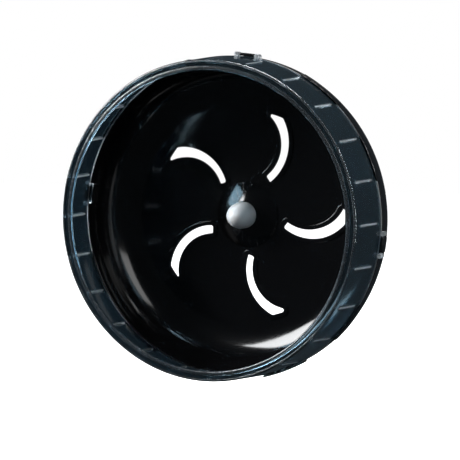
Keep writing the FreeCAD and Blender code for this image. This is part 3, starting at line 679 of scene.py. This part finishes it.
# Moulded plastic: slow waves, fine grain, patches of lesser gloss and a little dust.
def makeMouldedGroup():
    m = moulding
    group, given, result = newGroup("mouldedPlastic", [
        ("Place", "NodeSocketVector", None), ("Gloss", "NodeSocketFloat", 0.1),
        ("Spread", "NodeSocketFloat", 0.05), ("Waves", "NodeSocketFloat", 0.3),
        ("Grain", "NodeSocketFloat", 0.1), ("Dust", "NodeSocketFloat", 0.5),
    ], [("Roughness", "NodeSocketFloat"), ("Normal", "NodeSocketVector"), ("Dust", "NodeSocketFloat")])
    place = given.outputs["Place"]
    patches = noiseNode(group, place, m["patchScale"], 3)
    specks = noiseNode(group, place, m["speckScale"], 2)
    spots = mathNode(group, "GREATER_THAN", specks, m["speckLimit"])
    thickness = mathNode(group, "MULTIPLY", patches, given.outputs["Dust"])
    dust = mathNode(group, "MULTIPLY", spots, thickness)
    change = mathNode(group, "SUBTRACT", patches, 0.5)
    spread = mathNode(group, "MULTIPLY_ADD", change, given.outputs["Spread"], given.outputs["Gloss"])
    rough = mathNode(group, "MULTIPLY_ADD", dust, m["speckRoughness"], spread)
    group.links.new(rough, result.inputs["Roughness"])
    group.links.new(dust, result.inputs["Dust"])
    waves = mathNode(group, "MULTIPLY", noiseNode(group, place, m["waveScale"], 1), given.outputs["Waves"])
    grain = mathNode(group, "MULTIPLY", noiseNode(group, place, m["grainScale"], 2), given.outputs["Grain"])
    height = mathNode(group, "ADD", waves, mathNode(group, "MULTIPLY", grain, m["grainShare"]))
    group.links.new(bumpNode(group, height, m["strength"], m["height"]), result.inputs["Normal"])
    return group


turning = {
    "lineScale": 5200,
    "lineGloss": 0.18,  # how much the gloss changes from line to line
    "lineHeight": 0.00004,
    "patchScale": 240,
    "patchGloss": 0.12,
}


# Turned metal: rings round the axle, and slow changes of gloss.
def makeTurnedGroup():
    t = turning
    group, given, result = newGroup("turnedMetal", [
        ("Place", "NodeSocketVector", None), ("Gloss", "NodeSocketFloat", 0.25),
        ("Depth", "NodeSocketFloat", 0.4),
    ], [("Roughness", "NodeSocketFloat"), ("Normal", "NodeSocketVector")])
    split = group.nodes.new("ShaderNodeSeparateXYZ")
    group.links.new(given.outputs["Place"], split.inputs["Vector"])
    square = mathNode(group, "MULTIPLY_ADD", split.outputs["X"], split.outputs["X"],
                      mathNode(group, "MULTIPLY", split.outputs["Z"], split.outputs["Z"]))
    radius = mathNode(group, "POWER", square, 0.5)
    joined = group.nodes.new("ShaderNodeCombineXYZ")
    group.links.new(radius, joined.inputs["X"])
    group.links.new(split.outputs["Y"], joined.inputs["Y"])
    lines = noiseNode(group, joined.outputs["Vector"], t["lineScale"], 2)
    patches = noiseNode(group, given.outputs["Place"], t["patchScale"], 2)
    rough = given.outputs["Gloss"]
    for noise, amount in ((lines, t["lineGloss"]), (patches, t["patchGloss"])):
        rough = mathNode(group, "MULTIPLY_ADD", mathNode(group, "SUBTRACT", noise, 0.5), amount, rough)
    group.links.new(rough, result.inputs["Roughness"])
    group.links.new(bumpNode(group, lines, given.outputs["Depth"], t["lineHeight"]), result.inputs["Normal"])
    return group


groups = {"moulded": makeMouldedGroup(), "turned": makeTurnedGroup()}


def newFinish(name, colour, **plain):
    finish = bpy.data.materials.new(name)
    finish.use_nodes = True
    shader = finish.node_tree.nodes["Principled BSDF"]
    shader.inputs["Base Color"].default_value = (*colour, 1)
    for label, value in plain.items():
        shader.inputs[label.replace("_", " ")].default_value = value
    finish.diffuse_color = (*colour, 1)
    return finish, finish.node_tree, shader


def placeNode(tree):
    return tree.nodes.new("ShaderNodeTexCoord").outputs["Object"]


# Places a group with its own values and feeds the shader's normal from it.
def useGroup(tree, shader, group, **values):
    node = tree.nodes.new("ShaderNodeGroup")
    node.node_tree = groups[group]
    for label, value in values.items():
        node.inputs[label].default_value = value
    tree.links.new(placeNode(tree), node.inputs["Place"])
    tree.links.new(node.outputs["Normal"], shader.inputs["Normal"])
    return node


def mixColours(tree, factor, first, second):
    mix = tree.nodes.new("ShaderNodeMix")
    mix.data_type = "RGBA"
    mix.inputs["A"].default_value = (*first, 1)
    mix.inputs["B"].default_value = (*second, 1)
    tree.links.new(factor, mix.inputs["Factor"])
    return mix.outputs["Result"]


def mouldedFinish(name, colour, dustColour, gloss, spread, waves, grain, dust, **plain):
    finish, tree, shader = newFinish(name, colour, **plain)
    skin = useGroup(tree, shader, "moulded", Gloss=gloss, Spread=spread, Waves=waves, Grain=grain, Dust=dust)
    tree.links.new(skin.outputs["Roughness"], shader.inputs["Roughness"])
    tree.links.new(mixColours(tree, skin.outputs["Dust"], colour, dustColour), shader.inputs["Base Color"])
    return finish


def turnedFinish(name, colour, tint, gloss, depth, patch):
    finish, tree, shader = newFinish(name, colour, Metallic=1.0)
    skin = useGroup(tree, shader, "turned", Gloss=gloss, Depth=depth)
    tree.links.new(skin.outputs["Roughness"], shader.inputs["Roughness"])
    stain = noiseNode(tree, placeNode(tree), patch, 3)
    tree.links.new(mixColours(tree, stain, colour, tint), shader.inputs["Base Color"])
    return finish


smoke = {
    "clear": (0.20, 0.32, 0.40),
    # colour of the treads' frosting and of the painted highlights on edges and posts
    "frostAndHighlightColour": (0.95, 0.97, 1.0),
    "frostRoughness": 0.5,
}


# Tinted clear plastic, made rougher and lighter where the piece's attribute says: frosting on the treads,
# painted highlights on the ring's edges, tongues and posts.
def smokeFinish():
    finish, tree, shader = newFinish("smokeClear", smoke["clear"], IOR=1.5, Transmission_Weight=0.98)
    skin = useGroup(tree, shader, "moulded", Gloss=0.035, Spread=0.03, Waves=0.16, Grain=0.05, Dust=0.2)
    frostAndHighlightNode = tree.nodes.new("ShaderNodeAttribute")
    frostAndHighlightNode.attribute_name = "frostAndPaintedHighlight"
    frostAndPaintedHighlight = frostAndHighlightNode.outputs["Fac"]
    rough = mathNode(tree, "MULTIPLY", frostAndPaintedHighlight, smoke["frostRoughness"])
    tree.links.new(mathNode(tree, "ADD", skin.outputs["Roughness"], rough), shader.inputs["Roughness"])
    # The lighter colour is partly frosting and partly painted highlight.
    tree.links.new(mixColours(tree, frostAndPaintedHighlight, smoke["clear"], smoke["frostAndHighlightColour"]), shader.inputs["Base Color"])
    return finish


finishes = {
    "black_gloss": mouldedFinish("blackGloss", (0.003, 0.003, 0.0034), (0.03, 0.03, 0.03), gloss=0.12,
                                 spread=0.06, waves=0.22, grain=0.12, dust=0.25, IOR=1.49),
    "smoke_clear": smokeFinish(),
    "grey_satin": mouldedFinish("greySatin", (0.8, 0.8, 0.8), (0.62, 0.6, 0.58), gloss=0.36,
                                spread=0.1, waves=0.12, grain=0.5, dust=0.35, IOR=1.46),
    "black_satin": mouldedFinish("blackSatin", (0.012, 0.012, 0.013), (0.05, 0.05, 0.05), gloss=0.42,
                                 spread=0.12, waves=0.15, grain=1.2, dust=0.4, IOR=1.48),
    "cage_nylon": mouldedFinish("cageNylon", (0.74, 0.69, 0.55), (0.5, 0.45, 0.34), gloss=0.45,
                                spread=0.1, waves=0.1, grain=0.7, dust=0.3, IOR=1.53),
    "axle_steel": turnedFinish("axleSteel", (0.25, 0.255, 0.26), (0.19, 0.19, 0.195), gloss=0.44,
                               depth=0.55, patch=90),
    "screw_steel": turnedFinish("zincPlate", (0.60, 0.61, 0.58), (0.50, 0.53, 0.55), gloss=0.33,
                                depth=0.2, patch=420),
    "bearing_steel": turnedFinish("groundSteel", (0.66, 0.67, 0.68), (0.58, 0.58, 0.58), gloss=0.2,
                                  depth=0.35, patch=160),
    "ball_steel": turnedFinish("polishedSteel", (0.75, 0.76, 0.77), (0.68, 0.68, 0.69), gloss=0.11,
                               depth=0.03, patch=600),
}
print(len(finishes), "finishes")

for node, thing in frame["nodes"].items():
    thing.data.materials.clear()
    thing.data.materials.append(finishes[slots[node]])

makePiece("panBody", panWithSlots(), "wheel_pan")
makePiece("clearTrackRing", ringWithPosts(), "track_ring")
makePiece("hubConeShell", coneBody(), "hub_cone")
makePiece("hubCapShell", capBody(), "hub_cap")


# studio

studio = {
    "lens": 117.4,
    "sensor": 36,
    "azimuth": 24.9,
    "elevation": 4.3,
    "distance": 0.9286,
    "shift": (0.060, -0.018),
    "floor": -0.16,
    "floorFront": -0.75,
    "floorBack": 3.0,
    "floorSide": 2.5,
    "ambient": (0.027, 0.034, 0.04),
    "lights": [  # name, direction, distance, size, power, colour
        ("key", (-0.72, -0.5, 0.46), 1.0, (0.66, 0.52), 23, (0.97, 0.985, 1.0)),
        ("side", (0.72, -0.42, 0.56), 1.0, (0.45, 0.55), 2.6, (1, 1, 1)),
        ("top", (0.1, 0.2, 1.0), 1.2, (0.8, 0.8), 32, (1, 1, 1)),
        ("leftStrip", (-1, 0.2, 0.15), 1.0, (0.35, 0.9), 7, (0.95, 0.98, 1.0)),
        ("rightStrip", (1, 0.12, 0.2), 1.0, (0.2, 0.9), 13, (0.95, 0.98, 1.0)),
    ],
}


def towards(azimuth, elevation):
    a, e = math.radians(azimuth), math.radians(elevation)
    return Vector((math.sin(a) * math.cos(e), -math.cos(a) * math.cos(e), math.sin(e)))


def aimAt(thing, place, target):
    thing.location = place
    thing.rotation_euler = (target - place).to_track_quat("-Z", "Y").to_euler()


def makeCamera():
    data = bpy.data.cameras.new("camera")
    data.lens = studio["lens"]
    data.sensor_width = studio["sensor"]
    data.shift_x, data.shift_y = studio["shift"]
    camera = bpy.data.objects.new("camera", data)
    bpy.context.scene.collection.objects.link(camera)
    mouth = Vector((0, mouthY, 0))
    aimAt(camera, mouth + towards(studio["azimuth"], studio["elevation"]) * studio["distance"], mouth)
    bpy.context.scene.camera = camera


def makeWorld():
    world = bpy.data.worlds.new("studio")
    bpy.context.scene.world = world
    world.use_nodes = True
    nodes, links = world.node_tree.nodes, world.node_tree.links
    background = nodes["Background"]
    path = nodes.new("ShaderNodeLightPath")
    mix = nodes.new("ShaderNodeMix")
    mix.data_type = "RGBA"
    mix.inputs["A"].default_value = (*studio["ambient"], 1)
    mix.inputs["B"].default_value = (1, 1, 1, 1)
    links.new(path.outputs["Is Camera Ray"], mix.inputs["Factor"])
    links.new(mix.outputs["Result"], background.inputs["Color"])
    bpy.context.scene.view_settings.view_transform = "Standard"


def makeLight(name, direction, distance, size, power, colour):
    data = bpy.data.lights.new(name, "AREA")
    data.shape = "RECTANGLE"
    data.size, data.size_y = size
    data.energy = power
    data.color = colour
    light = bpy.data.objects.new(name, data)
    bpy.context.scene.collection.objects.link(light)
    centre = Vector((0, mouthY / 2, 0))
    aimAt(light, centre + Vector(direction).normalized() * distance, centre)


def makeFloor():
    bm = bmesh.new()
    bmesh.ops.create_grid(bm, x_segments=1, y_segments=1, size=1)
    length = studio["floorBack"] - studio["floorFront"]
    bmesh.ops.scale(bm, verts=bm.verts[:], vec=(studio["floorSide"], length / 2, 1))
    bmesh.ops.translate(bm, verts=bm.verts[:], vec=(0, studio["floorFront"] + length / 2, studio["floor"]))
    floor = asObject("floor", bm)
    paper, _, shader = newFinish("paper", (0.85, 0.85, 0.85), Roughness=0.8, Specular_IOR_Level=0.1)
    shader.inputs["Emission Color"].default_value = (1, 1, 1, 1)
    shader.inputs["Emission Strength"].default_value = 1.0
    floor.data.materials.append(paper)
    floor.visible_glossy = floor.visible_transmission = floor.visible_diffuse = False


makeCamera()
makeWorld()
makeFloor()
for light in studio["lights"]:
    makeLight(*light)
print("studio ready")
